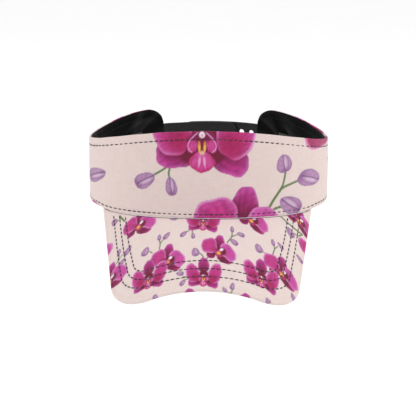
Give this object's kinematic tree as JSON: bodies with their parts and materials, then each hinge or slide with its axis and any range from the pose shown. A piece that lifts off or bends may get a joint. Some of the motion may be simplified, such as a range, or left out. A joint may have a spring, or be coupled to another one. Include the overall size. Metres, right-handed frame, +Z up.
{
  "type": "sun visor",
  "caption": "Cloth sun visor: a half-height crown band open at the top, a stitched curved brim and a plastic snap strap across the open back.",
  "frame": {"origin": "centre of the head opening, in the plane of the band's side hem", "axes": "+Z up through the open crown, -Y to the front where the brim is, +X to the wearer's left"},
  "size_m": [0.1876, 0.2451, 0.1142],
  "materials": {
    "printed_cloth": "woven polyester, pale pink with a magenta orchid print",
    "interfacing": "stiff bonded interfacing",
    "black_lining": "plain black woven lining",
    "towelling": "black looped sweatband cloth",
    "brim_board": "flexible polyethylene sheet",
    "strap_plastic": "soft black moulded polyethylene",
    "thread": "charcoal sewing thread"
  },
  "bodies": {
    "visor": {"band_cover": "printed_cloth", "band_interfacing": "interfacing", "band_lining": "black_lining", "sweatband": "towelling", "brim_top_cover": "printed_cloth", "brim_board": "brim_board", "brim_under_cover": "printed_cloth", "hole_strap_tab": "strap_plastic", "peg_strap_tab": "strap_plastic", "top_row_needle_thread": "thread", "top_row_bobbin_thread": "thread", "hem_row_needle_thread": "thread", "hem_row_bobbin_thread": "thread", "brim_row_1_needle_thread": "thread", "brim_row_1_bobbin_thread": "thread", "brim_row_2_needle_thread": "thread", "brim_row_2_bobbin_thread": "thread", "brim_row_3_needle_thread": "thread", "brim_row_3_bobbin_thread": "thread", "hole_strap_tack_thread": "thread", "peg_strap_tack_thread": "thread"},
    "hole_strap": {"hole_strap": "strap_plastic"},
    "peg_strap": {"peg_strap": "strap_plastic"}
  },
  "joints": [
    {"name": "hole_strap_flex", "type": "hinge", "parent": "visor", "child": "hole_strap", "pos_m": [0.03855, 0.08756, 0.022], "axis": [0, 0, -1], "range_deg": [0, 75], "stiffness_Nm_per_rad": 0.01},
    {"name": "peg_strap_flex", "type": "hinge", "parent": "visor", "child": "peg_strap", "pos_m": [-0.03855, 0.08756, 0.022], "axis": [0, 0, -1], "range_deg": [0, 35], "stiffness_Nm_per_rad": 0.01}
  ]
}
